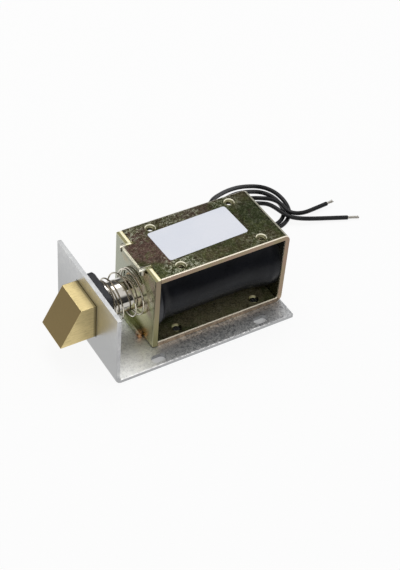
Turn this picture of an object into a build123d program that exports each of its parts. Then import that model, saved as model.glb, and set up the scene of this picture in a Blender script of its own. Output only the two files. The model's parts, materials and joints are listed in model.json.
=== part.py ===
from build123d import *
import math
import os

os.makedirs("parts", exist_ok=True)

# A pull-in solenoid lock on an L bracket: a square spring latch on the end of the plunger.
# Millimetres. +X runs along the plunger, from the latch to the rear. +Z is up.
# The origin is the middle of the four slots, on the underside of the base.

# Bracket: one folded sheet, a faceplate in front and a base behind it
bracket_width = 44.2
bracket_t = 1.5
bracket_bend_r = 0.6
faceplate_height = 29.5
base_length = 71.5
slot_length = 5.6
slot_width = 3.4
slot_pitch_x = 41.5
slot_side_margin = 3.1
slot_rear_margin = 12.0

# Magnet frame: a sheet folded into a C, closed in front by a flat plate
frame_length = 53.2
frame_width = 28.0
frame_height = 31.3
frame_t = 2.0
frame_bend_r = 0.5
front_plate_drop = 0.3
tab_width = 13.4
tab_reach = 1.9
tab_fit = 0.03
crimp_r = 1.0
crimp_depth = 0.55
lobe_r = 1.1

# Threaded holes of the frame, four above and four below
frame_hole_front = 11.45
frame_hole_pitch_x = 31.8
frame_hole_margin = 3.4
thread_d = 3.0
thread_root_d = 2.5
thread_mouth_d = 3.9

# Countersunk screws that hold the frame on the base
screw_length = 3.0
screw_head_d = 5.4
screw_socket_af = 2.0
screw_socket_depth = 0.9
screw_play = 0.15

# Coil: bobbin, copper and tape
flange_t = 1.6
flange_margin = 0.2
flange_play = 0.15
bobbin_wall = 0.9
winding_margin = 1.55
winding_depth = 4.65
tape_t = 0.5
tape_front_flare = 3.8
tape_rear_flare = 11.0
tape_margin = 0.2
wrap_gap = 0.03
lead_pad_length = 6.6
lead_pad_height = 6.0
lead_pad_proud = 0.6
lead_pad_margin = 0.4

# Plunger, its tube and the fixed core
plunger_play = 0.1
tube_wall = 0.4
press_gap = 0.02
stroke = 10.0
air_gap = 0.3
core_length = 15.0
cone_length = 5.0
cone_tip_d = 5.0
rivet_d = 7.0
rivet_swage = 0.6

# Latch and what sits between it and the plunger
latch_width = 14.2
latch_height = 14.0
latch_drop = 0.5
latch_low_reach = 13.3
latch_high_reach = 5.4
latch_play = 0.35
pad_width = 16.5
pad_t = 4.6
pad_corner_r = 2.5
pad_rest_gap = 0.1
collar_d = 14.8
collar_t = 0.8
stud_d = 5.0
stud_root_d = 4.2
stud_grip = 5.0
stud_play = 0.05

# Return spring, narrow on the collar and wide on the frame
spring_wire_d = 0.6
spring_small_d = 13.8
spring_large_d = 17.2
spring_turns = 4.5
spring_closed = 0.75
spring_seat_gap = 0.05
spring_ease = 0.5
spring_corners_per_turn = 8

# Sticker on top of the frame
label_length = 31.7
label_width = 15.4
label_t = 0.12
label_corner_r = 1.0
label_ahead = 2.5
label_aside = 1.1
label_turn = 2.0

# Lead wires
wire_d = 1.7
strand_d = 1.1
strip_a = 3.2
strip_b = 4.8
loop_centre = (53.0, 33.3)
loop_mean_r = 12.0
loop_section = (5.2, 3.5)

# Wires are swept with this many flat sides
wire_sides = 6

# Small edge breaks
sheet_break = 0.4
sheet_break_depth = 0.15
latch_break = 0.3
plunger_break = 0.5

# Sizes and places worked out from the sizes above
winding_d = min(frame_height - 2 * frame_t, frame_width) - 2 * winding_margin
flange_d = frame_width - 2 * flange_margin
coil_bore_wall = plunger_play + tube_wall + press_gap + bobbin_wall + wrap_gap
plunger_d = winding_d - 2 * (winding_depth + coil_bore_wall)
lead_pad_reach = frame_width / 2 + lead_pad_proud
face_x = slot_rear_margin + slot_pitch_x / 2 - base_length
slot_pitch_y = bracket_width - 2 * slot_side_margin
rear_x = face_x + base_length
plate_back_x = face_x + bracket_t
frame_front_x = rear_x - frame_length
inner_front_x = frame_front_x + frame_t
inner_rear_x = rear_x - frame_t
frame_bottom_z = bracket_t
frame_top_z = frame_bottom_z + frame_height
axis_z = frame_bottom_z + frame_height / 2
latch_z = axis_z - latch_drop
frame_hole_pitch_y = frame_width - 2 * frame_hole_margin
hole_mid_x = frame_front_x + frame_hole_front + frame_hole_pitch_x / 2
pad_front_x = plate_back_x + pad_rest_gap
collar_front_x = pad_front_x + pad_t
plunger_front_x = collar_front_x + collar_t
core_front_x = inner_rear_x - core_length
plunger_rear_x = core_front_x + cone_length - stroke - air_gap
tube_outer_d = plunger_d + 2 * plunger_play + 2 * tube_wall
bobbin_bore_d = tube_outer_d + 2 * press_gap
coil_front_x = inner_front_x + flange_play + flange_t
coil_rear_x = inner_rear_x - flange_play - flange_t
coil_room = frame_height - 2 * frame_t - 2 * flange_play
tape_d = winding_d + 2 * tape_t
tape_flare_d = flange_d - 2 * tape_margin

# Routes of the lead wires: the coil to the loop, then the loop to the stripped ends
LEAD_A = [
    (24.0, lead_pad_reach, 17.2), (23.8, 19.6, 17.6), (23.2, 24.2, 19.0), (28.2, 29.4, 18.0),
    (35.4, 34.4, 14.6), (43.0, 39.0, 10.8), (51.0, 42.4, 7.0), (60.5, 43.5, 3.0),
]
LEAD_B = [
    (26.4, lead_pad_reach, 17.2), (26.4, 19.6, 16.9), (26.6, 24.0, 16.4), (31.6, 28.6, 15.9),
    (38.4, 33.2, 13.0), (45.4, 37.4, 9.2), (52.0, 40.2, 5.6), (59.2, 41.2, 2.3),
]
TAIL_A = [(61.9, 26.6, 2.7), (63.4, 23.7, 2.7), (67.6, 22.7, 2.2), (73.4, 23.6, 1.6), (79.2, 23.8, 1.9)]
TAIL_B = [
    (59.9, 25.6, 2.6), (61.1, 22.3, 2.7), (64.8, 20.2, 2.2),
    (69.9, 18.5, 1.6), (76.1, 16.5, 1.1), (82.5, 13.9, 1.0),
]


def save(node, shape, red, green, blue):
    """Colours one piece and writes it as a file of its own."""
    shape.label = node
    shape.color = Color(red, green, blue)
    export_step(shape, f"parts/{node}.step")


def along_x(x_start, x_end, diameter, z=axis_z):
    """A round bar along X between two places."""
    bar = extrude(Plane.YZ * Circle(diameter / 2), amount=x_end - x_start)
    return Pos(x_start, 0, z) * bar


def block(x_range, y_range, z_range):
    """A box given by its low and high place on each axis."""
    (x0, x1), (y0, y1), (z0, z1) = x_range, y_range, z_range
    return Pos((x0 + x1) / 2, (y0 + y1) / 2, (z0 + z1) / 2) * Box(x1 - x0, y1 - y0, z1 - z0)


def side_profile(points, rounds):
    """A face in the X-Z plane, with some of its corners rounded."""
    face = make_face(Plane.XZ * Polyline(*points, close=True))
    for (x, z), radius in rounds:
        corner = face.vertices().sort_by_distance((x, 0, z))[0]
        face = fillet(corner, radius)
    return face


def broken_edges(sheet, side):
    """A sheet with the corners of one cut side rolled over, widely on its faces and little in depth."""
    cut_side = sheet.faces().sort_by(side)[-1]
    return chamfer(cut_side.edges(), sheet_break_depth, sheet_break, reference=cut_side)


def frame_hole_places():
    """The four hole places of the frame, seen from above."""
    grid = GridLocations(frame_hole_pitch_x, frame_hole_pitch_y, 2, 2)
    return [(hole_mid_x + spot.position.X, spot.position.Y) for spot in grid]


def bracket():
    """Faceplate and base from one sheet, with the latch window, four slots and four screw holes."""
    bend_x, bend_z = face_x + bracket_t, bracket_t
    outline = [
        (face_x, 0), (rear_x, 0), (rear_x, bracket_t), (bend_x, bend_z),
        (bend_x, faceplate_height), (face_x, faceplate_height),
    ]
    bends = [((face_x, 0), bracket_bend_r + bracket_t), ((bend_x, bend_z), bracket_bend_r)]
    sheet = extrude(side_profile(outline, bends), amount=bracket_width / 2, both=True)
    for side in (Axis.Y, -Axis.Y):
        sheet = broken_edges(sheet, side)
    window_half_y = latch_width / 2 + latch_play
    window_half_z = latch_height / 2 + latch_play
    sheet -= block(
        (face_x - bracket_t, bend_x + bracket_t),
        (-window_half_y, window_half_y),
        (latch_z - window_half_z, latch_z + window_half_z),
    )
    for spot in GridLocations(slot_pitch_x, slot_pitch_y, 2, 2):
        sheet -= spot * extrude(SlotOverall(slot_length, slot_width), amount=bracket_t)
    cone_depth = (screw_head_d - thread_d) / 2
    for x, y in frame_hole_places():
        sheet -= Pos(x, y, bracket_t / 2) * Cylinder(thread_d / 2 + screw_play, bracket_t)
        mouth = Cone(screw_head_d / 2 + screw_play, thread_d / 2 + screw_play, cone_depth)
        sheet -= Pos(x, y, cone_depth / 2) * mouth
    return sheet


def crimp_grooves():
    """The punch marks that spread the sides of both tabs into the front plate."""
    x_range = (frame_front_x - tab_reach - crimp_r, inner_front_x + crimp_r / 2)
    marks = []
    for side in (-1, 1):
        for z in (frame_top_z + crimp_r - crimp_depth, frame_bottom_z - crimp_r + crimp_depth):
            mark = along_x(*x_range, 2 * crimp_r, z)
            marks.append(Pos(0, side * tab_width / 2, 0) * mark)
    return marks


def tapped_holes(low_z):
    """Tapped holes through one plate of the frame, countersunk on its upper face."""
    mouth_depth = (thread_mouth_d - thread_root_d) / 2
    mouth = Cone(thread_root_d / 2, thread_mouth_d / 2, mouth_depth)
    cutter = Pos(0, 0, frame_t / 2) * Cylinder(thread_root_d / 2, frame_t)
    cutter += Pos(0, 0, frame_t - mouth_depth / 2) * mouth
    return [Pos(x, y, low_z) * cutter for x, y in frame_hole_places()]


def yoke():
    """The C-folded sheet: top, rear and bottom in one, with a crimped tab at each front end."""
    outline = [
        (inner_front_x, frame_top_z), (rear_x, frame_top_z), (rear_x, frame_bottom_z),
        (inner_front_x, frame_bottom_z), (inner_front_x, frame_bottom_z + frame_t),
        (inner_rear_x, frame_bottom_z + frame_t), (inner_rear_x, frame_top_z - frame_t),
        (inner_front_x, frame_top_z - frame_t),
    ]
    outer_r = frame_bend_r + frame_t
    bends = [
        ((rear_x, frame_top_z), outer_r), ((rear_x, frame_bottom_z), outer_r),
        ((inner_rear_x, frame_top_z - frame_t), frame_bend_r),
        ((inner_rear_x, frame_bottom_z + frame_t), frame_bend_r),
    ]
    sheet = extrude(side_profile(outline, bends), amount=frame_width / 2, both=True)
    for side in (Axis.Y, -Axis.Y):
        sheet = broken_edges(sheet, side)
    tab_tip_x = frame_front_x - tab_reach
    for low_z in (frame_bottom_z, frame_top_z - frame_t):
        z_range = (low_z, low_z + frame_t)
        sheet += block((tab_tip_x, inner_front_x + frame_t), (-tab_width / 2, tab_width / 2), z_range)
        for side in (-1, 1):
            lobe = extrude(Circle(lobe_r), amount=frame_t)
            sheet += Pos(frame_front_x - lobe_r - tab_fit, side * tab_width / 2, low_z) * lobe
    for mark in crimp_grooves():
        sheet -= mark
    for low_z in (frame_bottom_z, frame_top_z - frame_t):
        sheet -= tapped_holes(low_z)
    rivet_hole = along_x(inner_rear_x, rear_x, rivet_d + 2 * press_gap)
    return sheet - rivet_hole - rivet_swage_cone(press_gap)


def rivet_swage_cone(gap):
    """The flare at the rear end of the core's rivet, which fills a countersink in the frame."""
    cone = Cone(rivet_d / 2 + gap, rivet_d / 2 + rivet_swage + gap, rivet_swage)
    return Pos(rear_x - rivet_swage / 2, 0, axis_z) * Rot(0, 90, 0) * cone


def front_plate():
    """The flat plate that closes the frame, notched for both tabs and bored for the tube."""
    half_height = frame_height / 2 - front_plate_drop
    plate = block(
        (frame_front_x, inner_front_x),
        (-frame_width / 2, frame_width / 2),
        (axis_z - half_height, axis_z + half_height),
    )
    front = plate.faces().sort_by(Axis.X)[0]
    plate = chamfer(front.edges(), sheet_break, sheet_break_depth, reference=front)
    notch_half = tab_width / 2 + tab_fit
    for low_z in (frame_bottom_z, frame_top_z - frame_t - tab_fit):
        z_range = (low_z - tab_fit, low_z + frame_t + tab_fit)
        plate -= block((frame_front_x - frame_t, inner_front_x), (-notch_half, notch_half), z_range)
    for mark in crimp_grooves():
        plate -= mark
    return plate - along_x(frame_front_x, inner_front_x, tube_outer_d + 2 * press_gap)


def frame_screw(x, y):
    """A countersunk screw, flush with the underside, with a hexagon socket."""
    cone_depth = (screw_head_d - thread_d) / 2
    screw = Pos(x, y, cone_depth / 2) * Cone(screw_head_d / 2, thread_d / 2, cone_depth)
    neck = bracket_t - cone_depth
    screw += Pos(x, y, cone_depth + neck / 2) * Cylinder(thread_d / 2, neck)
    grip = screw_length - bracket_t
    shank_r = thread_root_d / 2 - press_gap
    screw += Pos(x, y, bracket_t + grip / 2) * Cylinder(shank_r, grip)
    hexagon = RegularPolygon(screw_socket_af / 2, 6, major_radius=False)
    return screw - Pos(x, y, 0) * extrude(hexagon, amount=screw_socket_depth)


def flange(x_start):
    """A round end wall of the bobbin, cut flat above and below to fit in the frame."""
    disc = along_x(x_start, x_start + flange_t, flange_d)
    return disc & Pos(x_start, 0, axis_z) * Box(4 * flange_t, 2 * flange_d, coil_room)


def bobbin():
    """Two end walls on a thin sleeve."""
    spool = flange(coil_front_x - flange_t) + flange(coil_rear_x)
    spool += along_x(coil_front_x, coil_rear_x, bobbin_bore_d + 2 * bobbin_wall)
    return spool - along_x(inner_front_x, inner_rear_x, bobbin_bore_d)


def coil_winding():
    """The copper on the bobbin, as one sleeve."""
    x_range = (coil_front_x + wrap_gap, coil_rear_x - wrap_gap)
    bore = bobbin_bore_d + 2 * bobbin_wall + 2 * wrap_gap
    return along_x(*x_range, winding_d) - along_x(*x_range, bore)


def coil_tape():
    """The tape round the copper, drawn up on both end walls, with a lump over the wire joints."""
    x0, x1 = coil_front_x + wrap_gap, coil_rear_x - wrap_gap
    inner_r = winding_d / 2 + wrap_gap
    outer_r, flare_r = tape_d / 2, tape_flare_d / 2
    waist_x0, waist_x1 = x0 + tape_front_flare, x1 - tape_rear_flare
    outline = [
        (x0, flare_r), (waist_x0, outer_r), (waist_x1, outer_r), (x1, flare_r), (x1, inner_r), (x0, inner_r),
    ]
    section = make_face(Plane.XZ * Polyline(*outline, close=True))
    sleeve = Pos(0, 0, axis_z) * revolve(section, Axis.X)
    sleeve &= Pos(0, 0, axis_z) * Box(2 * frame_length, 2 * flange_d, coil_room)
    lump_x1 = x1 - lead_pad_margin
    lump = block(
        (lump_x1 - lead_pad_length, lump_x1),
        (inner_r, lead_pad_reach),
        (axis_z - lead_pad_height / 2, axis_z + lead_pad_height / 2),
    )
    lump = fillet(lump.edges().filter_by(Axis.Y), lead_pad_height / 4)
    core = along_x(x0, x1, winding_d + 2 * wrap_gap)
    return sleeve + (lump - core)


def guide_tube():
    """The thin tube that the plunger slides in."""
    outer = along_x(frame_front_x, inner_rear_x, tube_outer_d)
    return outer - along_x(frame_front_x, inner_rear_x, tube_outer_d - 2 * tube_wall)


def cone_nose(rear_tip_x, gap):
    """The blunt cone that the plunger ends in, with its tip at rear_tip_x."""
    slope = (plunger_d - cone_tip_d) / 2 / cone_length
    wide_r = plunger_d / 2 + gap * slope
    nose = Cone(wide_r, cone_tip_d / 2 + gap * slope, cone_length)
    return Pos(rear_tip_x - cone_length / 2, 0, axis_z) * Rot(0, 90, 0) * nose


def fixed_core():
    """The iron stop in the rear of the tube, hollowed to take the plunger and riveted to the frame."""
    body_d = plunger_d + 2 * plunger_play - 2 * press_gap
    core = along_x(core_front_x, inner_rear_x, body_d)
    core += along_x(inner_rear_x, rear_x, rivet_d) + rivet_swage_cone(0)
    return core - cone_nose(core_front_x + cone_length, 0)


def plunger():
    """The moving iron: a stud in front for the latch, a polished body and a blunt cone behind."""
    body = along_x(plunger_front_x, plunger_rear_x - cone_length, plunger_d)
    body = chamfer(body.faces().sort_by(Axis.X)[0].edges(), plunger_break)
    body += cone_nose(plunger_rear_x, 0)
    body += along_x(pad_front_x, plunger_front_x, stud_d)
    return body + along_x(pad_front_x - stud_grip, pad_front_x, stud_root_d)


def collar():
    """The washer between the pad and the plunger, which the spring pushes on."""
    ring = along_x(collar_front_x, plunger_front_x, collar_d)
    ring = chamfer(ring.edges(), collar_t / 4)
    return ring - along_x(collar_front_x, plunger_front_x, stud_d + 2 * stud_play)


def bumper_pad():
    """The square soft pad that lands on the back of the faceplate."""
    outline = Plane.YZ * RectangleRounded(pad_width, pad_width, pad_corner_r)
    pad = Pos(pad_front_x, 0, axis_z) * extrude(outline, amount=pad_t)
    pad = chamfer(pad.faces().sort_by(Axis.X)[-1].edges(), pad_t / 8)
    return pad - along_x(pad_front_x, collar_front_x, stud_d + 2 * stud_play)


def latch_bolt():
    """The square latch with its long bevel, bored behind for the plunger's stud."""
    low_z, high_z = latch_z - latch_height / 2, latch_z + latch_height / 2
    outline = [
        (face_x - latch_low_reach, low_z), (pad_front_x, low_z),
        (pad_front_x, high_z), (face_x - latch_high_reach, high_z),
    ]
    bar = extrude(side_profile(outline, []), amount=latch_width / 2, both=True)
    bar = chamfer(bar.edges(), latch_break)
    return bar - along_x(pad_front_x - stud_grip, pad_front_x, stud_root_d + 2 * press_gap)


def wire_tube(path, diameter):
    """A wire swept along a path."""
    section = RegularPolygon(diameter / 2, wire_sides)
    return sweep(Plane(path @ 0, z_dir=path % 0) * section, path)


def spring_point(turn):
    """A corner of the spring's path: closed at both ends, wider towards the frame."""
    seat_front = plunger_front_x + spring_seat_gap + spring_wire_d / 2
    seat_rear = frame_front_x - spring_seat_gap - spring_wire_d / 2
    open_turns = spring_turns - 2 * spring_closed
    open_length = seat_rear - seat_front - 2 * spring_closed * spring_wire_d
    share = min(max((turn - spring_closed) / open_turns, 0.0), 1.0)
    eased_share = share - spring_ease * math.sin(2 * math.pi * share) / (2 * math.pi)
    closed_turns = min(turn, spring_closed) + max(turn - spring_turns + spring_closed, 0.0)
    x = seat_front + closed_turns * spring_wire_d + eased_share * open_length
    coil_r = (spring_small_d + (spring_large_d - spring_small_d) * turn / spring_turns) / 2
    corner_r = coil_r / math.cos(math.pi / spring_corners_per_turn)
    angle = 2 * math.pi * turn
    return x, corner_r * math.cos(angle), axis_z + corner_r * math.sin(angle)


def return_spring():
    """The tapered coil spring: one wire along short runs joined by wide arcs."""
    count = round(spring_turns * spring_corners_per_turn)
    points = [spring_point(spring_turns * i / count) for i in range(count + 1)]
    return wire_tube(FilletPolyline(*points, radius=corner_radii(points)), spring_wire_d)


def label():
    """The blank sticker on top of the frame."""
    outline = RectangleRounded(label_length, label_width, label_corner_r)
    place = Pos(hole_mid_x - label_ahead, label_aside, frame_top_z) * Rot(0, 0, label_turn)
    return place * extrude(outline, amount=label_t)


def corner_radii(points):
    """For each corner of a route, the largest arc that its two runs allow."""
    radii = []
    for before, here, after in zip(points, points[1:], points[2:]):
        run_in, run_out = Vector(*here) - Vector(*before), Vector(*after) - Vector(*here)
        half_turn = math.radians(run_in.get_angle(run_out)) / 2
        radii.append(0.45 * min(run_in.length, run_out.length) / math.tan(half_turn))
    return radii


def wire(name, points):
    """One insulated wire along straight runs joined by tangent arcs."""
    radii = corner_radii(points)
    path = FilletPolyline(*points, radius=radii)
    tube = wire_tube(path, wire_d)
    share = tube.volume / (RegularPolygon(wire_d / 2, wire_sides).area * path.length)
    print(name, "radii", [round(r, 1) for r in radii], f"length {path.length:.1f} filled {share:.4f}")
    return tube


def bare_end(points, length):
    """The stripped strands that go on from the end of a wire."""
    end = Vector(*points[-1])
    heading = (end - Vector(*points[-2])).normalized()
    strand = extrude(Plane(end, z_dir=heading) * Circle(strand_d / 2), amount=length)
    rim = strand.faces().sort_by_distance(end + heading * length)[0].edges()
    return chamfer(rim, strand_d / 6)


def lead_loop():
    """The outer shape of the loop that both wires lie in, on the ground behind the frame."""
    width, height = loop_section
    section = chamfer(Rectangle(width, height).vertices(), height / 4)
    ring = revolve(Plane.XZ * Pos(loop_mean_r, height / 2) * section, Axis.Z)
    return Pos(*loop_centre, 0) * ring


save("bracket", bracket(), 0.78, 0.79, 0.8)
save("yoke", yoke(), 0.55, 0.54, 0.36)
save("front_plate", front_plate(), 0.66, 0.66, 0.52)
for number, (x, y) in enumerate(frame_hole_places(), start=1):
    save(f"frame_screw_{number}", frame_screw(x, y), 0.6, 0.6, 0.62)
save("bobbin", bobbin(), 0.12, 0.12, 0.13)
save("coil_winding", coil_winding(), 0.72, 0.4, 0.2)
save("coil_tape", coil_tape(), 0.07, 0.07, 0.08)
save("guide_tube", guide_tube(), 0.75, 0.62, 0.3)
save("fixed_core", fixed_core(), 0.6, 0.6, 0.6)
save("plunger", plunger(), 0.8, 0.8, 0.8)
save("collar", collar(), 0.85, 0.85, 0.85)
save("bumper_pad", bumper_pad(), 0.1, 0.1, 0.11)
save("latch_bolt", latch_bolt(), 0.72, 0.6, 0.32)
save("return_spring", return_spring(), 0.75, 0.74, 0.7)
save("label", label(), 0.93, 0.94, 0.97)
save("lead_a", wire("lead_a", LEAD_A), 0.08, 0.08, 0.08)
save("lead_b", wire("lead_b", LEAD_B), 0.08, 0.08, 0.08)
save("lead_loop", lead_loop(), 0.1, 0.1, 0.1)
save("lead_tail_a", wire("lead_tail_a", TAIL_A), 0.08, 0.08, 0.08)
save("lead_tail_b", wire("lead_tail_b", TAIL_B), 0.08, 0.08, 0.08)
save("lead_tip_a", bare_end(TAIL_A, strip_a), 0.8, 0.79, 0.76)
save("lead_tip_b", bare_end(TAIL_B, strip_b), 0.8, 0.79, 0.76)
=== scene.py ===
import json
import math

import bmesh
import bpy
from mathutils import Matrix, Vector, noise


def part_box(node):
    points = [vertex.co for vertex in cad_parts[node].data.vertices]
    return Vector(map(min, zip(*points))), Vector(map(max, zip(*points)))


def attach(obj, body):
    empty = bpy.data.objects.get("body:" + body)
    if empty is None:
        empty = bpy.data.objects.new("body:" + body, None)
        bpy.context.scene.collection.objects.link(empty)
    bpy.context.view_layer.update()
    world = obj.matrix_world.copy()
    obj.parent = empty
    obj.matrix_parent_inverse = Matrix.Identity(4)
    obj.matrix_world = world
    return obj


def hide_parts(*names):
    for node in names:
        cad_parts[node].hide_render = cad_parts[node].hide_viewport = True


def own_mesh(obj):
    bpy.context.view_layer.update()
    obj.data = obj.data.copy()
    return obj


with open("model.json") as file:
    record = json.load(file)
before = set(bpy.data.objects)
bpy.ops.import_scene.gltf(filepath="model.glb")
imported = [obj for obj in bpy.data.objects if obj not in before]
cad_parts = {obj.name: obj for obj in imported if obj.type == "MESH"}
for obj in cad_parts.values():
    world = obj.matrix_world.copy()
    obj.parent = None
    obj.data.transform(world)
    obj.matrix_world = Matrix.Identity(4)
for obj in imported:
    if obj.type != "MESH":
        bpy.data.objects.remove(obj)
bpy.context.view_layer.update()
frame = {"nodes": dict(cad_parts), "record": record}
nodes = frame["nodes"]
MM = 0.001


def box_mm(node):
    """A node's lowest and highest corners at rest, in millimetres."""
    return [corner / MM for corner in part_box(node)]


# Places of the part, in millimetres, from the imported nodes
bracket_low, bracket_high = box_mm("bracket")
yoke_low, yoke_high = box_mm("yoke")
plate_low, plate_high = box_mm("front_plate")
tape_low, tape_high = box_mm("coil_tape")
spring_low, spring_high = box_mm("return_spring")
latch_low, latch_high = box_mm("latch_bolt")
end_wall_high = box_mm("bobbin")[1]
winding_high = box_mm("coil_winding")[1]
YOKE_SHEET = 2.0
BASE_TOP_Z = yoke_low.z
INNER_BOTTOM_Z = yoke_low.z + YOKE_SHEET
TOP_Z = yoke_high.z
AXIS_Z = (yoke_low.z + yoke_high.z) / 2

# The latch's shorter reach in front of the faceplate, at the top of its bevel
LATCH_HIGH_REACH = 5.4

# Tapped holes of the yoke, seen from above
HOLE_FRONT = 11.45
HOLE_PITCH_X = 31.8
HOLE_PITCH_Y = 21.2
HOLE_PLACES = [
    (plate_low.x + HOLE_FRONT + along, side * HOLE_PITCH_Y / 2)
    for along in (0, HOLE_PITCH_X)
    for side in (-1, 1)
]

# Camera, at the photograph's viewing angle
CAMERA_AZIMUTH = -34.168
CAMERA_ELEVATION = 42.895
CAMERA_ROLL = 5.132
CAMERA_PLACE = (-0.17779, -0.27142, 0.31316)
FOCAL_PIXELS = 1258.87
PHOTO_HEIGHT = 570
SENSOR = 36.0

# Studio light: the lamp's direction from the object, its distance, size and power, and the world's level
LAMP_SIDE = (0.10, 0.35, 0.93)
LAMP_DISTANCE = 0.9
LAMP_SIZE = 0.5
LAMP_WATTS = 2.2
AMBIENT = 0.72
# Dark cards that stand round the object: direction, where each starts and is full, and how dark it is
DARK_CARDS = (
    ((0.42, 0.87, 0.26), 0.75, 0.94, 0.88),
    ((0.41, -0.91, -0.05), 0.72, 0.92, 0.95),
    ((-0.80, 0.60, 0.0), 0.75, 0.92, 0.70),
)

# Lead wires: the same routes as the solids, in metres
WIRE_D = 1.7 * MM
LEAD_PAD_REACH = 0.0146
LEAD_A = [
    (0.0240, LEAD_PAD_REACH, 0.0172), (0.0238, 0.0196, 0.0176), (0.0232, 0.0242, 0.0190),
    (0.0282, 0.0294, 0.0180), (0.0354, 0.0344, 0.0146), (0.0430, 0.0390, 0.0108),
    (0.0510, 0.0424, 0.0070), (0.0605, 0.0435, 0.0030),
]
LEAD_B = [
    (0.0264, LEAD_PAD_REACH, 0.0172), (0.0264, 0.0196, 0.0169), (0.0266, 0.0240, 0.0164),
    (0.0316, 0.0286, 0.0159), (0.0384, 0.0332, 0.0130), (0.0454, 0.0374, 0.0092),
    (0.0520, 0.0402, 0.0056), (0.0592, 0.0412, 0.0023),
]
TAIL_A = [
    (0.0619, 0.0266, 0.0027), (0.0634, 0.0237, 0.0027), (0.0676, 0.0227, 0.0022),
    (0.0734, 0.0236, 0.0016), (0.0792, 0.0238, 0.0019),
]
TAIL_B = [
    (0.0599, 0.0256, 0.0026), (0.0611, 0.0223, 0.0027), (0.0648, 0.0202, 0.0022),
    (0.0699, 0.0185, 0.0016), (0.0761, 0.0165, 0.0011), (0.0825, 0.0139, 0.0010),
]
LOOP_CENTRE = Vector((0.053, 0.0333, 0.0))
LOOP_POINTS = 17
STRIP_A, STRIP_B = 3.2 * MM, 4.8 * MM


def smooth(low, high, value):
    """A smooth step from 0 to 1 as value goes from low to high."""
    share = min(max((value - low) / (high - low), 0.0), 1.0)
    return share * share * (3 - 2 * share)


def shade(colour, share):
    """A colour with all its channels taken down to a share."""
    return tuple(channel * share for channel in colour)


def link(obj):
    """Puts an object in the scene."""
    bpy.context.scene.collection.objects.link(obj)
    return obj


def mesh_piece(name, points, faces, material, smooth_faces=True):
    """A new piece from points in metres and faces."""
    mesh = bpy.data.meshes.new(name)
    mesh.from_pydata(points, [], faces)
    mesh.update()
    mesh.polygons.foreach_set("use_smooth", [smooth_faces] * len(mesh.polygons))
    mesh.materials.append(material)
    return link(bpy.data.objects.new(name, mesh))


class Nodes:
    """Adds shader nodes to one node tree."""

    def __init__(self, tree):
        self.tree = tree

    def add(self, kind, inputs=None, **settings):
        """One node, with its settings and its inputs as values or sockets."""
        made = self.tree.nodes.new("ShaderNode" + kind)
        for key, value in settings.items():
            setattr(made, key, value)
        for key, value in (inputs or {}).items():
            if isinstance(value, bpy.types.NodeSocket):
                self.tree.links.new(value, made.inputs[key])
            else:
                made.inputs[key].default_value = value
        return made

    def band(self, value, low, high, to_low=0.0, to_high=1.0):
        """Maps value from low..high to to_low..to_high with soft ends."""
        inputs = {"Value": value, "From Min": low, "From Max": high, "To Min": to_low, "To Max": to_high}
        return self.add("MapRange", inputs, interpolation_type="SMOOTHSTEP").outputs["Result"]

    def band_mm(self, place, low, high, to_low=0.0, to_high=1.0):
        """The same for a place along one axis, with low and high in millimetres."""
        return self.band(place, low * MM, high * MM, to_low, to_high)

    def either_way(self, component, low, high):
        """The same for a component of the normal, whichever way it points."""
        return self.band(self.math("ABSOLUTE", component), low, high)

    def math(self, operation, *values):
        """One sum on one or two numbers or sockets."""
        return self.add("Math", dict(enumerate(values)), operation=operation).outputs[0]

    def times(self, *values):
        """The product of numbers or sockets."""
        product = values[0]
        for value in values[1:]:
            product = self.math("MULTIPLY", product, value)
        return product

    def most(self, first, second):
        """The larger of two numbers or sockets."""
        return self.math("MAXIMUM", first, second)

    def without(self, value):
        """What a share leaves of 1."""
        return self.math("SUBTRACT", 1.0, value)

    def between(self, share, first, second):
        """A number between two numbers."""
        return self.math("ADD", first, self.times(share, second - first))

    def mix(self, share, first, second):
        """A colour between two colours."""
        inputs = {0: share}
        for slot, colour in ((6, first), (7, second)):
            inputs[slot] = colour if isinstance(colour, bpy.types.NodeSocket) else (*colour, 1)
        return self.add("Mix", inputs, data_type="RGBA").outputs[2]

    def place(self, stretch=(1, 1, 1), turn=(0, 0, 0)):
        """The place on the piece in metres, stretched for long grain."""
        where = self.add("TexCoord").outputs["Object"]
        inputs = {"Vector": where, "Scale": stretch, "Rotation": turn}
        return self.add("Mapping", inputs).outputs["Vector"]

    def along(self):
        """The place on the piece as X, Y and Z, in metres."""
        return self.add("SeparateXYZ", {"Vector": self.place()}).outputs

    def facing(self):
        """The surface normal's X, Y and Z on the piece."""
        normal = self.add("TexCoord").outputs["Normal"]
        return self.add("SeparateXYZ", {"Vector": normal}).outputs

    def near(self, spot, radius_mm):
        """1 at a spot of the piece, in millimetres, falling to 0 at the radius."""
        where = self.add("TexCoord").outputs["Object"]
        inputs = {0: where, 1: [s * MM for s in spot]}
        gap = self.add("VectorMath", inputs, operation="DISTANCE").outputs["Value"]
        return self.band_mm(gap, 0.0, radius_mm, 1.0, 0.0)

    def noise(self, per_mm, detail=2.0, rough=0.5, warp=0.0, stretch=(1, 1, 1), turn=(0, 0, 0)):
        """Cloudy noise from 0 to 1."""
        inputs = {
            "Vector": self.place(stretch, turn), "Scale": per_mm / MM,
            "Detail": detail, "Roughness": rough, "Distortion": warp,
        }
        return self.add("TexNoise", inputs).outputs["Fac"]

    def spangle(self, per_mm):
        """Cells that each have their own tone."""
        inputs = {"Vector": self.place(), "Scale": per_mm / MM}
        return self.add("TexVoronoi", inputs).outputs["Color"]

    def seen_rays(self):
        """1 for rays that show the background: from the camera, by a reflection or through glass."""
        rays = self.add("LightPath").outputs
        return self.most(self.most(rays["Is Camera Ray"], rays["Is Glossy Ray"]), rays["Is Transmission Ray"])


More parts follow.
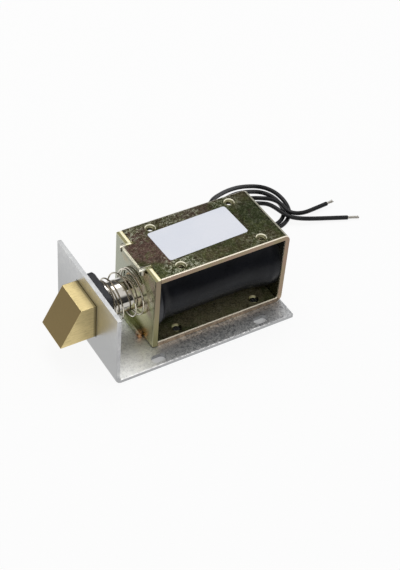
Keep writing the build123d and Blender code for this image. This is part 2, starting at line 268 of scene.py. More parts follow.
class Paint(Nodes):
    """A node material with one Principled shader."""

    def __init__(self, name, **values):
        self.material = bpy.data.materials.new(name)
        self.material.use_nodes = True
        super().__init__(self.material.node_tree)
        self.shader = self.tree.nodes["Principled BSDF"]
        for socket, value in values.items():
            self.shader.inputs[socket.replace("_", " ")].default_value = value

    def set(self, socket, value):
        """Feeds one of the shader's sockets."""
        self.tree.links.new(value, self.shader.inputs[socket])

    def bump(self, height, depth_mm, strength=1.0):
        """Raises the surface by height, up to a depth."""
        inputs = {"Height": height, "Distance": depth_mm * MM, "Strength": strength}
        self.set("Normal", self.add("Bump", inputs).outputs["Normal"])


def bright_zinc():
    """Bright zinc sheet: satin, with a grey mottle that is stronger on the base towards the rear, painted
    light on the front of the base's top, and painted shade low on the faceplate's front.
    """
    dull, bright, base_painted_light = (0.56, 0.565, 0.57), (0.63, 0.635, 0.63), (0.92, 0.925, 0.91)
    face_foot_painted_shade, cut_edge = (0.41, 0.415, 0.415), (0.45, 0.455, 0.46)
    patch_grey, spot_grey, speck_grey = (0.47, 0.475, 0.48), (0.22, 0.225, 0.235), (0.24, 0.245, 0.255)

    paint = Paint("bright_zinc", Metallic=1.0)
    mottle = paint.noise(0.75, detail=5, rough=0.62, warp=0.5)
    pepper = paint.noise(1.25, detail=4, rough=0.66, warp=0.8)
    grain = paint.noise(5.0, detail=3)
    place, normal = paint.along(), paint.facing()
    rearward = paint.band_mm(place["X"], -30, -2, 0.25, 1.0)
    low = paint.band_mm(place["Z"], BASE_TOP_Z + 2.0, BASE_TOP_Z + 1.0)
    on_base = paint.times(low, paint.band(normal["Z"], 0.5, 0.9))
    base_cut = paint.times(low, paint.either_way(normal["Y"], 0.90, 0.97))
    forward = paint.band(normal["X"], -0.80, -0.95)

    colour = paint.mix(paint.band(paint.spangle(0.55), 0.3, 0.8), dull, bright)
    # Painted light: the base's top ahead of 14 to 24 mm is painted near white, lifting the shade of the
    # plunger and spring.
    base_light_share = paint.times(on_base, paint.band_mm(place["X"], 24, 14))
    colour = paint.mix(base_light_share, colour, base_painted_light)
    # Painted shade: the faceplate's front is painted darker low down, against its reflection of the bright
    # base.
    face_foot_shade = paint.times(forward, paint.band_mm(place["Z"], 40, 10))
    colour = paint.mix(face_foot_shade, colour, face_foot_painted_shade)
    colour = paint.mix(base_cut, colour, cut_edge)
    patches = paint.times(paint.band(mottle, 0.40, 0.62), rearward)
    colour = paint.mix(patches, colour, patch_grey)
    spots = paint.times(paint.band(pepper, 0.50, 0.60), rearward, on_base, 0.85)
    colour = paint.mix(spots, colour, spot_grey)
    specks = paint.times(paint.band(grain, 0.60, 0.72), rearward)
    paint.set("Base Color", paint.mix(specks, colour, speck_grey))

    satin = paint.band(mottle, 0.3, 0.7, 0.44, 0.56)
    paint.set("Roughness", paint.times(satin, paint.between(forward, 1.0, 0.70)))
    paint.bump(paint.math("ADD", mottle, paint.times(grain, 0.4)), 0.012)
    return paint.material


# Clouds on the yoke's flat faces, and a painted light on the inner bottom plate (the last): place and radius
# in millimetres, and tint
YOKE_CLOUDS_AND_LIGHT = (
    ((-14, 1, TOP_Z), 15, (0.135, 0.080, 0.066)),
    ((10, 13, TOP_Z), 12, (0.115, 0.084, 0.062)),
    ((28, 1, TOP_Z), 11, (0.050, 0.062, 0.026)),
    # painted light on the inner bottom plate, lifting the shade under the coil
    ((8, 0, INNER_BOTTOM_Z), 34, (0.170, 0.150, 0.085)),
)
# Where pale flecks crowd on the yoke's top: place, radius and how densely
FLECKED_PLACES = (
    ((-9, -12, TOP_Z), 12, 1.0),
    ((-14, 12, TOP_Z), 11, 0.8),
    ((3, 13, TOP_Z), 12, 0.8),
    ((22, -11, TOP_Z), 9, 0.3),
    ((20, 13, TOP_Z), 9, 0.8),
)
# Stains on the crimped tabs, the two lower crimps copper red: place, radius and tint
TAB_STAINS = (
    ((plate_low.x - 1.05, 0.0, yoke_low.z + 0.9), 6.5, (0.30, 0.33, 0.12)),
    ((plate_low.x - 1.25, -6.8, yoke_low.z + 0.9), 2.4, (0.74, 0.33, 0.15)),
    ((plate_low.x - 1.15, 6.8, yoke_low.z + 0.9), 1.8, (0.62, 0.34, 0.20)),
    ((plate_low.x - 1.25, -6.8, yoke_high.z - 0.8), 2.2, (0.52, 0.51, 0.46)),
    ((plate_low.x - 1.25, 6.8, yoke_high.z - 0.8), 2.0, (0.48, 0.46, 0.40)),
)


def yoke_faces(paint, drift, grain):
    """The yoke's flat faces: dark olive with brown clouds, a painted light on the inner bottom, and pale
    flecks in places.
    """
    olive, brown = (0.060, 0.072, 0.026), (0.090, 0.076, 0.038)
    light_blotch, dark_blotch, hollow = (0.120, 0.130, 0.052), (0.052, 0.036, 0.024), (0.030, 0.036, 0.014)
    large_fleck, small_fleck = (0.52, 0.53, 0.40), (0.34, 0.34, 0.22)

    blotch = paint.noise(0.36, detail=3, rough=0.6, warp=0.6)
    lumps = paint.noise(0.95, detail=4, rough=0.68, warp=0.7)
    ragged = paint.band(drift, 0.3, 0.7, -0.35, 0.25)

    def zone(spot, radius):
        """A place on the sheet with a ragged border."""
        reach = paint.times(paint.near(spot, radius), 1.4)
        return paint.band(paint.math("ADD", reach, ragged), 0.15, 0.75)

    colour = paint.mix(paint.band(drift, 0.38, 0.62), olive, brown)
    for spot, radius, tint in YOKE_CLOUDS_AND_LIGHT:
        colour = paint.mix(zone(spot, radius), colour, tint)
    colour = paint.mix(paint.band(blotch, 0.52, 0.66, 0.0, 0.65), colour, light_blotch)
    colour = paint.mix(paint.band(blotch, 0.47, 0.33, 0.0, 0.65), colour, dark_blotch)
    flecked = 0.0
    for spot, radius, share in FLECKED_PLACES:
        flecked = paint.most(flecked, paint.times(zone(spot, radius), share))
    density = paint.between(flecked, 0.14, 0.94)
    colour = paint.mix(paint.times(paint.band(lumps, 0.50, 0.62), density), colour, large_fleck)
    colour = paint.mix(paint.band(lumps, 0.46, 0.34, 0.0, 0.50), colour, hollow)
    return paint.mix(paint.times(paint.band(grain, 0.54, 0.66), density), colour, small_fleck)


def yellow_zinc():
    """Yellow zinc chromate: olive faces, pale gold painted highlights on rims and edges, painted shade in the
    tapped holes, and duller cut sides painted lighter at the bottom.
    """
    rim_olive, hole_painted_shade, tip_olive = (0.23, 0.22, 0.125), (0.030, 0.020, 0.008), (0.33, 0.33, 0.24)
    brim_painted_highlight, side_painted_highlight, front_painted_highlight = (0.92, 0.88, 0.70), (0.86, 0.79, 0.65), (0.92, 0.88, 0.68)
    cut_brown, cut_olive, cut_low_tint_and_light = (0.30, 0.21, 0.155), (0.27, 0.225, 0.135), (0.40, 0.30, 0.215)

    paint = Paint("yellow_zinc")
    drift = paint.noise(0.13, detail=3, rough=0.55, warp=0.5)
    grain = paint.noise(2.0, detail=4, rough=0.62)
    place, normal = paint.along(), paint.facing()
    level = paint.math("ABSOLUTE", normal["Z"])
    sloped = paint.band(level, 0.975, 0.94)
    cut_side = paint.either_way(normal["Y"], 0.90, 0.97)
    tip = paint.band(normal["X"], -0.90, -0.97)

    high_up = paint.band_mm(place["Z"], 5, 20)
    low_down = paint.band_mm(place["Z"], INNER_BOTTOM_Z - 0.2, INNER_BOTTOM_Z - 0.4)
    rim = paint.times(sloped, paint.most(high_up, low_down))
    colour = paint.mix(rim, yoke_faces(paint, drift, grain), rim_olive)
    # Painted shade: the inside of each tapped hole is painted dark brown.
    for x, y in HOLE_PLACES:
        hole_shade = paint.times(sloped, paint.near((x, y, TOP_Z - 1.8), 2.6))
        colour = paint.mix(hole_shade, colour, hole_painted_shade)
    # Painted highlights in pale gold: the chamfers under the top, the edges along the sides, and the tab's
    # front lip and edge.
    brim_highlight = paint.times(sloped, paint.band_mm(place["Z"], TOP_Z - 0.30, TOP_Z - 0.16))
    colour = paint.mix(brim_highlight, colour, brim_painted_highlight)
    side_edge_highlight = paint.band_mm(paint.math("ABSOLUTE", place["Y"]), yoke_high.y - 1.0, yoke_high.y - 0.5)
    colour = paint.mix(paint.times(sloped, side_edge_highlight), colour, side_painted_highlight)
    colour = paint.mix(tip, colour, tip_olive)
    lip_highlight = paint.times(tip, paint.band_mm(place["Z"], TOP_Z - 0.8, TOP_Z - 0.6))
    front_edge_highlight = paint.times(paint.band_mm(place["X"], plate_low.x - 1.30, plate_low.x - 1.40), level)
    colour = paint.mix(paint.most(lip_highlight, front_edge_highlight), colour, front_painted_highlight)

    cut = paint.mix(paint.band(drift, 0.35, 0.65), cut_brown, cut_olive)
    # Painted light: the cut sides of the bottom sheet are painted lighter.
    bottom_light_share = paint.band_mm(place["Z"], INNER_BOTTOM_Z + 1.5, INNER_BOTTOM_Z - 0.5)
    cut = paint.mix(bottom_light_share, cut, cut_low_tint_and_light)
    colour = paint.mix(cut_side, colour, cut)
    for spot, radius, tint in TAB_STAINS:
        colour = paint.mix(paint.near(spot, radius), colour, tint)
    paint.set("Base Color", colour)

    inside_z = paint.band_mm(place["Z"], INNER_BOTTOM_Z + 1.0, INNER_BOTTOM_Z + 0.5)
    inside = paint.times(inside_z, paint.band(level, 0.90, 0.97))
    paint.set("Metallic", paint.between(inside, 1.0, 0.30))
    paint.set("Roughness", paint.band(grain, 0.3, 0.7, 0.22, 0.34))
    paint.bump(paint.times(grain, paint.without(cut_side)), 0.014)
    return paint.material


# Stains on the front plate, with a painted shadow under the top and a painted reflection of the plunger among
# them, their middles just in front of it: place and radius in millimetres, and tint
PLATE_FACE_X = plate_low.x - 0.05
PLATE_STAINS_AND_LIGHT = (
    # painted shadow below the top, near the crimp
    ((PLATE_FACE_X, -7.0, 29.5), 5.0, (0.34, 0.23, 0.13)),
    # painted reflection of the plunger
    ((PLATE_FACE_X, -10.5, 22.0), 3.6, (1.0, 0.93, 0.76)),
    ((PLATE_FACE_X, -10.5, 15.5), 3.4, (0.46, 0.34, 0.26)),
    ((PLATE_FACE_X, 7.0, 27.5), 4.0, (0.36, 0.30, 0.19)),
)


def front_zinc():
    """The front plate's chromate: grey green, with faint yellow-green and pink clouds low down that are
    partly painted light, a painted shadow, a painted reflection, and painted highlights on its edges.
    """
    dark_green, light_green = (0.30, 0.315, 0.245), (0.36, 0.37, 0.285)
    yellow_cloud, pink_cloud, green_cloud = (0.58, 0.58, 0.30), (0.62, 0.46, 0.38), (0.52, 0.62, 0.25)
    low_yellow_and_light, edge_painted_highlight, top_brown = (0.78, 0.76, 0.44), (0.74, 0.70, 0.50), (0.27, 0.25, 0.13)
    rear_painted_highlight, cut_high, cut_low_tint_and_light = (0.88, 0.84, 0.62), (0.29, 0.235, 0.160), (0.34, 0.315, 0.165)

    paint = Paint("yellow_zinc_front", Metallic=1.0)
    clouds = paint.noise(0.13, detail=2, rough=0.45, warp=0.9)
    drift = paint.noise(0.17, detail=2, rough=0.5, warp=0.5, turn=(0.7, 0, 0.4))
    grain = paint.noise(2.2, detail=4, rough=0.6)
    place, normal = paint.along(), paint.facing()
    nearside = paint.band_mm(place["Y"], 7, -9)
    low = paint.band_mm(place["Z"], 22, 10)

    colour = paint.mix(paint.band(grain, 0.4, 0.65), dark_green, light_green)
    warm = paint.mix(paint.band(clouds, 0.42, 0.58), yellow_cloud, pink_cloud)
    warm = paint.mix(paint.band(drift, 0.50, 0.64), warm, green_cloud)
    # Low down the warm clouds turn yellow and lighter: a real yellow tint, partly painted light lifting the
    # shade near the base.
    warm = paint.mix(low, warm, low_yellow_and_light)
    colour = paint.mix(paint.times(nearside, paint.between(low, 0.55, 0.95)), colour, warm)
    for spot, radius, tint in PLATE_STAINS_AND_LIGHT:
        colour = paint.mix(paint.times(paint.near(spot, radius), 0.85), colour, tint)

    # Painted highlights: the edges' chamfers in pale gold, and a line along the top's rear edge.
    tilted = paint.either_way(normal["X"], 0.97, 0.90)
    colour = paint.mix(tilted, colour, edge_painted_highlight)
    flat_top = paint.either_way(normal["Z"], 0.96, 0.99)
    colour = paint.mix(flat_top, colour, top_brown)
    rear_highlight_line = paint.times(flat_top, paint.band_mm(place["X"], plate_high.x - 1.0, plate_high.x - 0.75))
    colour = paint.mix(rear_highlight_line, colour, rear_painted_highlight)
    # The cut sides are pinkish high and olive low; the low colour is also lighter, as painted light.
    cut = paint.mix(paint.band_mm(place["Z"], 24, 6), cut_high, cut_low_tint_and_light)
    paint.set("Base Color", paint.mix(paint.either_way(normal["Y"], 0.90, 0.97), colour, cut))
    paint.set("Roughness", paint.between(tilted, 0.26, 0.45))
    paint.bump(grain, 0.006)
    return paint.material


def brass(name, colour, rough, grain_stretch, root_x=None):
    """Brass with fine lines left by its finishing, and painted shade on its bevel and at its root."""
    paint = Paint(name, Metallic=1.0)
    lines = paint.noise(3.0, detail=4, rough=0.65, stretch=grain_stretch)
    stain = paint.noise(0.16, detail=3, rough=0.5, warp=0.4)
    tone = paint.mix(paint.band(stain, 0.35, 0.65), colour, shade(colour, 0.88))
    tone = paint.mix(paint.band(lines, 0.46, 0.66, 0.0, 0.6), tone, shade(colour, 0.68))
    normal = paint.facing()
    # Painted shade: the bevel is painted dark.
    bevel = paint.times(paint.band(normal["X"], -0.80, -0.86), paint.band(normal["Z"], 0.30, 0.44))
    red, green, blue = colour
    tone = paint.mix(bevel, tone, (red * 0.33, green * 0.30, blue * 0.26))
    if root_x is not None:
        # Painted shade along the root at the faceplate.
        root_painted_shade = paint.band_mm(paint.along()["X"], root_x - 1.1, root_x - 0.6, 0.0, 0.7)
        tone = paint.mix(root_painted_shade, tone, shade(colour, 0.30))
    paint.set("Base Color", tone)
    paint.set("Roughness", paint.band(lines, 0.3, 0.7, rough * 0.85, rough * 1.2))
    paint.bump(lines, 0.006)
    return paint.material


def turned(name, colour, rough):
    """Bright turned metal with faint rings round its axis."""
    paint = Paint(name, Metallic=1.0)
    rings = paint.noise(0.25, detail=3, rough=0.6, stretch=(40, 1, 1))
    haze = paint.noise(0.35, detail=3, rough=0.5)
    paint.set("Base Color", paint.mix(paint.band(haze, 0.4, 0.7), colour, shade(colour, 0.9)))
    paint.set("Roughness", paint.band(rings, 0.3, 0.7, rough * 0.7, rough * 1.5))
    paint.bump(rings, 0.002, 0.5)
    return paint.material


def sprung(name):
    """Drawn and plated spring wire, with a painted shade where it faces up."""
    bright, dark = (0.78, 0.73, 0.63), (0.20, 0.17, 0.13)
    paint = Paint(name, Metallic=1.0, Roughness=0.12)
    # Painted shade: the wire is painted dark where it faces up.
    paint.set("Base Color", paint.mix(paint.band(paint.facing()["Z"], 0.25, 0.70), bright, dark))
    return paint.material


def dark_soft(name, colour, rough, per_mm, depth_mm, level=0.5):
    """A dark plastic, rubber or film with a fine uneven surface."""
    paint = Paint(name, Specular_IOR_Level=level)
    grain = paint.noise(per_mm, detail=4, rough=0.6)
    drift = paint.noise(per_mm / 12, detail=2)
    paint.set("Base Color", paint.mix(paint.band(drift, 0.35, 0.65), colour, shade(colour, 1.5)))
    paint.set("Roughness", paint.band(grain, 0.3, 0.7, rough * 0.8, rough * 1.2))
    paint.bump(grain, depth_mm)
    return paint.material


def sticker():
    """Blank white film, very slightly uneven and cool."""
    cool_white, lighter_white = (0.80, 0.83, 0.91), (0.84, 0.86, 0.93)
    paint = Paint("label_white", Roughness=0.5)
    drift = paint.noise(0.08, detail=2)
    paint.set("Base Color", paint.mix(paint.band(drift, 0.3, 0.7), cool_white, lighter_white))
    paint.bump(paint.noise(1.2, detail=3), 0.004)
    return paint.material


def make_materials():
    """Every finish of the record, by its slot."""
    return {
        "bright_zinc": bright_zinc(),
        "yellow_zinc": yellow_zinc(),
        "yellow_zinc_front": front_zinc(),
        "screw_steel": turned("screw_steel", (0.62, 0.62, 0.63), 0.3),
        "bobbin_plastic": dark_soft("bobbin_plastic", (0.020, 0.021, 0.025), 0.45, 2.0, 0.006),
        "winding_copper": brass("winding_copper", (0.68, 0.36, 0.18), 0.4, (60, 1, 1)),
        "black_tape": dark_soft("black_tape", (0.0060, 0.0066, 0.0085), 0.33, 1.6, 0.012, 0.14),
        "tube_brass": brass("tube_brass", (0.66, 0.46, 0.24), 0.3, (1, 30, 30)),
        "core_iron": turned("core_iron", (0.50, 0.49, 0.46), 0.32),
        "nickel": turned("nickel", (0.58, 0.555, 0.505), 0.08),
        "pad_rubber": dark_soft("pad_rubber", (0.016, 0.017, 0.020), 0.6, 2.4, 0.010),
        "latch_brass": brass("latch_brass", (0.78, 0.635, 0.32), 0.40, (0.12, 1.3, 1.3), bracket_low.x),
        "spring_wire": sprung("spring_wire"),
        "label_white": sticker(),
        "wire_black": dark_soft("wire_black", (0.0055, 0.0057, 0.0065), 0.34, 1.4, 0.006, 0.26),
        "tinned_strand": turned("tinned_strand", (0.46, 0.44, 0.40), 0.3),
    }


def dress_nodes(materials):
    """Gives every solid its finish."""
    for part in frame["record"]["subparts"]:
        for slot in nodes[part["node"]].material_slots:
            slot.material = materials[part["material_slot"]]


def tube(points, radius, sides):
    """Points and faces of a closed tube through points, with no twist."""
    count = len(points)
    ring, verts, faces = None, [], []
    for i, here in enumerate(points):
        heading = (points[min(i + 1, count - 1)] - points[max(i - 1, 0)]).normalized()
        ring = heading.orthogonal() if ring is None else ring
        ring = (ring - heading * ring.dot(heading)).normalized()
        other = heading.cross(ring)
        for k in range(sides):
            turn = 2 * math.pi * k / sides
            verts.append(here + (ring * math.cos(turn) + other * math.sin(turn)) * radius)
    for i in range(count - 1):
        for k in range(sides):
            a, b = i * sides + k, i * sides + (k + 1) % sides
            faces.append((a, b, b + sides, a + sides))
    faces.append(tuple(range(sides - 1, -1, -1)))
    faces.append(tuple(range((count - 1) * sides, count * sides)))
    return verts, faces


def joined(parts):
    """Several lists of points and faces as one."""
    verts, faces = [], []
    for some_verts, some_faces in parts:
        base = len(verts)
        verts += some_verts
        faces += [tuple(base + i for i in face) for face in some_faces]
    return verts, faces


def loop_turns(first, last, turn_r, inner_r, dip_at, leave_at, rise):
    """One wire's turn on the ground, from its lead to its tail, clockwise from above.

    The turn has turn_r, drops to inner_r by the share dip_at of the way round, and leaves for the
    tail from leave_at. Its radii and its rise over the other wire are in millimetres.
    """
    settled, landed = 0.3, 0.16
    dip_span, left = 0.35, 1.05
    climb_from, climb_to = 0.78, 0.93
    start, end = Vector(first) - LOOP_CENTRE, Vector(last) - LOOP_CENTRE
    start_angle = math.atan2(start.y, start.x)
    whole = math.atan2(end.y, end.x) - start_angle - 2 * math.pi
    start_r, end_r = math.hypot(start.x, start.y), math.hypot(end.x, end.y)
    points = []
    for i in range(1, LOOP_POINTS):
        share = i / LOOP_POINTS
        angle = start_angle + whole * share
        radius = start_r + (turn_r * MM - start_r) * smooth(0.0, settled, share)
        radius += (inner_r * MM - radius) * smooth(dip_at - dip_span, dip_at, share)
        radius += (end_r - radius) * smooth(leave_at, left, share)
        fall = (1 - smooth(0.0, landed, share)) * (start.z - WIRE_D / 2)
        climb = smooth(climb_from, climb_to, share) * rise * MM
        height = WIRE_D / 2 + fall + climb
        points.append(LOOP_CENTRE + Vector((radius * math.cos(angle), radius * math.sin(angle), height)))
    return points


def wire_curve(name, points, material):
    """One insulated wire: an open spline with a round section."""
    curve = bpy.data.curves.new(name, "CURVE")
    curve.dimensions = "3D"
    spline = curve.splines.new("NURBS")
    spline.points.add(len(points) - 1)
    for point, place in zip(spline.points, points):
        point.co = (*place, 1)
    spline.order_u = 3
    spline.use_endpoint_u = True
    curve.resolution_u = 10
    curve.bevel_depth = WIRE_D / 2
    curve.bevel_resolution = 5
    curve.use_fill_caps = True
    curve.materials.append(material)
    return link(bpy.data.objects.new(name, curve))


def bare_strands(name, route, length, material, spread):
    """The stripped end of a wire: six tinned strands in a loose twist round a seventh."""
    outer, steps, sides = 6, 24, 8
    strand_r, lay_r, pitch = 0.17 * MM, 0.36 * MM, 3.4 * MM
    shorter, stagger = 0.2 * MM, 0.05
    end = Vector(route[-1])
    heading = (end - Vector(route[-2])).normalized()
    side = heading.orthogonal().normalized()
    other = heading.cross(side)
    parts = []
    for strand in range(outer + 1):
        in_middle = strand == outer
        points = []
        for step in range(steps + 1):
            share = step / steps
            along = (length - shorter) * share * (1 - stagger * (strand % 3))
            turn = 2 * math.pi * (along / pitch + strand / outer)
            out = 0.0 if in_middle else lay_r * (1 + spread * share ** 3 * (strand % 2))
            points.append(end + heading * along + (side * math.cos(turn) + other * math.sin(turn)) * out)
        parts.append(tube(points, strand_r, sides))
    return mesh_piece(name, *joined(parts), material)


def make_wires(materials):
    """Both lead wires, from the coil over their loose loop to the bare ends."""
    black, tinned = materials["wire_black"], materials["tinned_strand"]
    turn_a = loop_turns(
        LEAD_A[-1], TAIL_A[0], turn_r=12.7, inner_r=7.6, dip_at=0.80, leave_at=0.84, rise=1.95,
    )
    turn_b = loop_turns(
        LEAD_B[-1], TAIL_B[0], turn_r=10.7, inner_r=4.5, dip_at=0.74, leave_at=0.89, rise=1.85,
    )
    route_a = [*LEAD_A, *turn_a, *TAIL_A]
    route_b = [*LEAD_B, *turn_b, *TAIL_B]
    wire_a = wire_curve("lead_wire_a", route_a, black)
    wire_b = wire_curve("lead_wire_b", route_b, black)
    tip_a = bare_strands("strands_a", route_a, STRIP_A, tinned, 0.5)
    tip_b = bare_strands("strands_b", route_b, STRIP_B, tinned, 0.3)
    for pieces, slot in (((wire_a, wire_b), "wire_black"), ((tip_a, tip_b), "tinned_strand")):
        for piece in pieces:
            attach(piece, "lock_body")
    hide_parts("lead_a", "lead_loop", "lead_tail_a")
    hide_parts("lead_b", "lead_tail_b")
    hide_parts("lead_tip_a")
    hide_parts("lead_tip_b")


def make_spring(materials):
    """The tapered return spring with closed ends."""
    wire_r, small_r, large_r = 0.3, 6.9, 8.4
    turns, closed, lag = 4.5, 0.75, 0.15
    steps, sides = 56, 12
    x0, x1 = spring_low.x + wire_r, spring_high.x - wire_r
    open_length = x1 - x0 - 2 * closed * 2 * wire_r
    points = []
    for i in range(round(turns * steps) + 1):
        turn = i / steps
        share = min(max((turn - closed) / (turns - 2 * closed), 0.0), 1.0)
        eased = share - 0.5 * math.sin(2 * math.pi * share) / (2 * math.pi)
        closed_turns = min(turn, closed) + max(turn - turns + closed, 0.0)
        x = x0 + closed_turns * 2 * wire_r + eased * open_length
        r = small_r + (large_r - small_r) * share * (2 - share)
        angle = 2 * math.pi * (turn - lag)
        points.append(Vector((x, r * math.cos(angle), AXIS_Z + r * math.sin(angle))) * MM)
    spring = mesh_piece("coil_spring", *tube(points, wire_r * MM, sides), materials["spring_wire"])
    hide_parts("return_spring")
    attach(spring, "lock_body")
    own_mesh(spring)


# The coil's tape, in millimetres: its ends along the coil, and the rear end wall that it folds over
TAPE_FRONT_X = tape_low.x
TAPE_REAR_X = end_wall_high.x - 0.1
END_WALL_X = tape_high.x + 0.02
END_WALL_R = end_wall_high.y + 0.02
TAPE_HALF_HEIGHT = (tape_high.z - tape_low.z) / 2
# The lump where the tape holds the lead wires down, on the far side
LUMP_REAR_X = tape_high.x - 0.4
LUMP_FRONT_X = LUMP_REAR_X - 6.6
LUMP_HALF_HEIGHT = 3.0


def wrapped_radius(x, angle):
    """How far the loose tape lies from the axis: waisted, with soft swells and creases."""
    waist_r, flare_r = 12.55, 13.55
    front = 1 - smooth(0.0, 4.0, x - TAPE_FRONT_X)
    rear = smooth(-13.0, -3.0, x - TAPE_REAR_X)
    radius = waist_r + (flare_r - waist_r) * max(front, rear)
    y_share, z_share = math.cos(angle), math.sin(angle)
    swell = noise.noise(Vector((x * 0.07, y_share * 1.3, z_share * 1.3 + 7.0)))
    creases = noise.noise(Vector((x * 0.10, angle * 5.0, 3.0))) * (0.4 + 1.2 * front)
    fine = noise.noise(Vector((x * 0.9, y_share * 9.0, z_share * 9.0)))
    return radius + (0.16 * swell + 0.09 * creases + 0.02 * fine) * (1 - 0.8 * rear)


def tape_radius(x, angle):
    """The tape's outer radius: rounded in front, folded over the rear end wall, raised at the lump."""
    front_round, fold = 0.5, 1.3
    r = wrapped_radius(x, angle) - front_round * (1 - smooth(0.0, front_round, x - TAPE_FRONT_X))
    r += (max(r, END_WALL_R + 0.08) - r) * smooth(END_WALL_X - 3.2, END_WALL_X - 0.6, x)
    over = min(max((x - TAPE_REAR_X) / fold + 1, 0.0), 1.0)
    r -= (r - END_WALL_R) * (1 - math.sqrt(1 - over * over))
    y_share = math.cos(angle)
    in_lump = smooth(LUMP_FRONT_X, LUMP_FRONT_X + 0.9, x) * (1 - smooth(LUMP_REAR_X - 0.5, LUMP_REAR_X, x))
    if y_share > 0.5 and in_lump > 0:
        height = abs(r * math.sin(angle))
        in_lump *= 1 - smooth(LUMP_HALF_HEIGHT - 0.9, LUMP_HALF_HEIGHT + 0.3, height)
        r += (tape_high.y / y_share - r) * in_lump
    return r


def make_tape(materials):
    """The black tape round the coil, closed underneath by its seat on the end wall and the copper."""
    around, along = 240, 150
    inner_r = winding_high.y + 0.05
    angles = [2 * math.pi * k / around for k in range(around)]
    rings = []
    for i in range(along + 1):
        x = TAPE_FRONT_X + (TAPE_REAR_X - TAPE_FRONT_X) * i / along
        rings.append((x, [tape_radius(x, angle) for angle in angles], TAPE_HALF_HEIGHT))
    for x, r in (
        (TAPE_REAR_X, END_WALL_R), (END_WALL_X, END_WALL_R), (END_WALL_X, inner_r), (TAPE_FRONT_X, inner_r),
    ):
        rings.append((x, [r] * around, TAPE_HALF_HEIGHT - 0.02))
    verts, faces = [], []
    for x, radii, half_height in rings:
        for angle, r in zip(angles, radii):
            z = max(min(r * math.sin(angle), half_height), -half_height)
            verts.append(Vector((x, r * math.cos(angle), AXIS_Z + z)) * MM)
    for i in range(len(rings)):
        here, beyond = i * around, (i + 1) % len(rings) * around
        for k in range(around):
            after = (k + 1) % around
            faces.append((here + k, here + after, beyond + after, beyond + k))
    tape = mesh_piece("coil_wrap", verts, faces, materials["black_tape"])
    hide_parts("coil_tape")
    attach(tape, "lock_body")


def make_latch(materials):
    """The bevelled latch, with finely broken edges."""
    edge_break = 0.12
    top_x = bracket_low.x - LATCH_HIGH_REACH
    outline = [
        (latch_low.x, latch_low.z), (latch_high.x, latch_low.z),
        (latch_high.x, latch_high.z), (top_x, latch_high.z),
    ]
    verts = [Vector((x, y, z)) * MM for y in (latch_low.y, latch_high.y) for x, z in outline]
    sides = [(i, i + 4, (i + 1) % 4 + 4, (i + 1) % 4) for i in range(4)]
    faces = [(0, 1, 2, 3), (7, 6, 5, 4), *sides]
    latch = mesh_piece("latch_block", verts, faces, materials["latch_brass"], smooth_faces=False)
    form = bmesh.new()
    form.from_mesh(latch.data)
    bmesh.ops.recalc_face_normals(form, faces=form.faces)
    bmesh.ops.bevel(form, geom=form.edges, offset=edge_break * MM, segments=2, affect="EDGES", profile=0.6)
    form.to_mesh(latch.data)
    form.free()
    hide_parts("latch_bolt")
    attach(latch, "latch")


def make_threads(materials):
    """The thread in the yoke's eight tapped holes, as one thin ridge in each."""
    root_r, ridge_r, lead = 1.25, 0.24, 0.5
    first_rise, climb = 0.3, 1.1
    steps, sides = 60, 6
    parts = []
    for x, y in HOLE_PLACES:
        for low_z in (yoke_low.z, yoke_high.z - YOKE_SHEET):
            points = []
            for step in range(steps + 1):
                rise = first_rise + climb * step / steps
                turn = 2 * math.pi * (rise / lead)
                spot = Vector((x + root_r * math.cos(turn), y + root_r * math.sin(turn), low_z + rise))
                points.append(spot * MM)
            parts.append(tube(points, ridge_r * MM, sides))
    threads = mesh_piece("frame_threads", *joined(parts), materials["yellow_zinc"])
    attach(threads, "lock_body")


def make_floor():
    """A plain pale floor that shows white and keeps the shadow.

    Under the base it has no glow, so that the slots aren't lit from below. Past the near side, metal
    sees it dark, like the dark cards of the world.
    """
    half_size, drop, glow_share = 3.0, 0.02, 0.90
    dark_from_y, dark_to_y = -75, -95
    base_inset, face_inset = 1.0, 3.0
    pale, dark = (0.90, 0.90, 0.90), (0.04, 0.04, 0.04)
    paint = Paint("floor_white", Roughness=0.9, Specular_IOR_Level=0.0)
    place = paint.along()
    under = paint.math("LESS_THAN", paint.math("ABSOLUTE", place["Y"]), (bracket_high.y - base_inset) * MM)
    behind_face = paint.math("GREATER_THAN", place["X"], (bracket_low.x + face_inset) * MM)
    before_rear = paint.math("LESS_THAN", place["X"], (bracket_high.x - base_inset) * MM)
    under = paint.times(under, behind_face, before_rear)
    mirrored = paint.add("LightPath").outputs["Is Glossy Ray"]
    beyond = paint.times(paint.band_mm(place["Y"], dark_from_y, dark_to_y), mirrored)
    paint.set("Base Color", paint.mix(beyond, pale, dark))
    share = paint.times(paint.seen_rays(), paint.without(paint.most(under, beyond)), glow_share)
    glow = paint.add("Emission", {"Color": (1, 1, 1, 1), "Strength": 1.0}).outputs[0]
    both = paint.add("MixShader", {0: share, 1: paint.shader.outputs[0], 2: glow}).outputs[0]
    paint.tree.links.new(both, paint.tree.nodes["Material Output"].inputs["Surface"])
    corners = [(x * half_size, y * half_size, 0) for x, y in ((-1, -1), (1, -1), (1, 1), (-1, 1))]
    floor = mesh_piece("floor", corners, [(0, 1, 2, 3)], paint.material)
    floor.location.z = -drop * MM


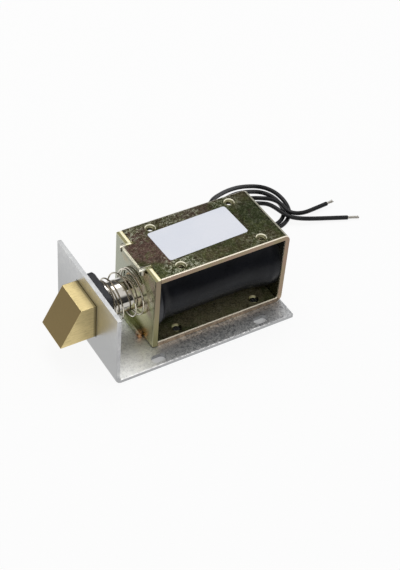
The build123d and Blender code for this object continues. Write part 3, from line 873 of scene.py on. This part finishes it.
def make_world():
    """A white studio with dark cards, which metal shows as it shows the white."""
    world = bpy.data.worlds.new("studio")
    bpy.context.scene.world = world
    world.use_nodes = True
    studio = Nodes(world.node_tree)
    direction = studio.add("TexCoord").outputs["Generated"]
    rays = studio.add("LightPath").outputs
    mirrored = studio.most(rays["Is Glossy Ray"], rays["Is Transmission Ray"])
    level = studio.band(mirrored, 0.0, 1.0, AMBIENT, 1.0)
    for aim, start, full, depth in DARK_CARDS:
        inputs = {0: direction, 1: Vector(aim).normalized()}
        toward = studio.add("VectorMath", inputs, operation="DOT_PRODUCT").outputs["Value"]
        level = studio.times(level, studio.band(toward, start, full, 1.0, 1.0 - depth))
    background = studio.tree.nodes["Background"]
    background.inputs["Color"].default_value = (1, 1, 1, 1)
    studio.tree.links.new(studio.most(level, rays["Is Camera Ray"]), background.inputs["Strength"])


def make_lamp():
    """One soft lamp overhead."""
    data = bpy.data.lights.new("softbox", "AREA")
    data.shape = "SQUARE"
    data.size = LAMP_SIZE
    data.energy = LAMP_WATTS
    lamp = link(bpy.data.objects.new("softbox", data))
    aim = Vector(LAMP_SIDE).normalized()
    lamp.location = aim * LAMP_DISTANCE
    lamp.rotation_mode = "QUATERNION"
    lamp.rotation_quaternion = aim.to_track_quat("Z", "Y")


def make_camera():
    """The photograph's viewpoint."""
    azimuth, elevation, roll = (math.radians(a) for a in (CAMERA_AZIMUTH, CAMERA_ELEVATION, CAMERA_ROLL))
    level_share = math.cos(elevation)
    back = Vector((math.sin(azimuth) * level_share, -math.cos(azimuth) * level_share, math.sin(elevation)))
    side = Vector((0, 0, 1)).cross(back).normalized()
    rise = back.cross(side)
    right = side * math.cos(roll) + rise * math.sin(roll)
    up = rise * math.cos(roll) - side * math.sin(roll)
    data = bpy.data.cameras.new("camera")
    data.sensor_width = SENSOR
    data.lens = FOCAL_PIXELS / PHOTO_HEIGHT * SENSOR
    data.clip_start, data.clip_end = 0.01, 10
    camera = link(bpy.data.objects.new("camera", data))
    camera.matrix_world = Matrix.Translation(CAMERA_PLACE) @ Matrix((right, up, back)).transposed().to_4x4()
    bpy.context.scene.camera = camera


finishes = make_materials()
dress_nodes(finishes)
make_camera()
make_wires(finishes)
make_spring(finishes)
make_tape(finishes)
make_latch(finishes)
make_threads(finishes)
make_floor()
make_world()
make_lamp()
bpy.context.scene.view_settings.view_transform = "Standard"
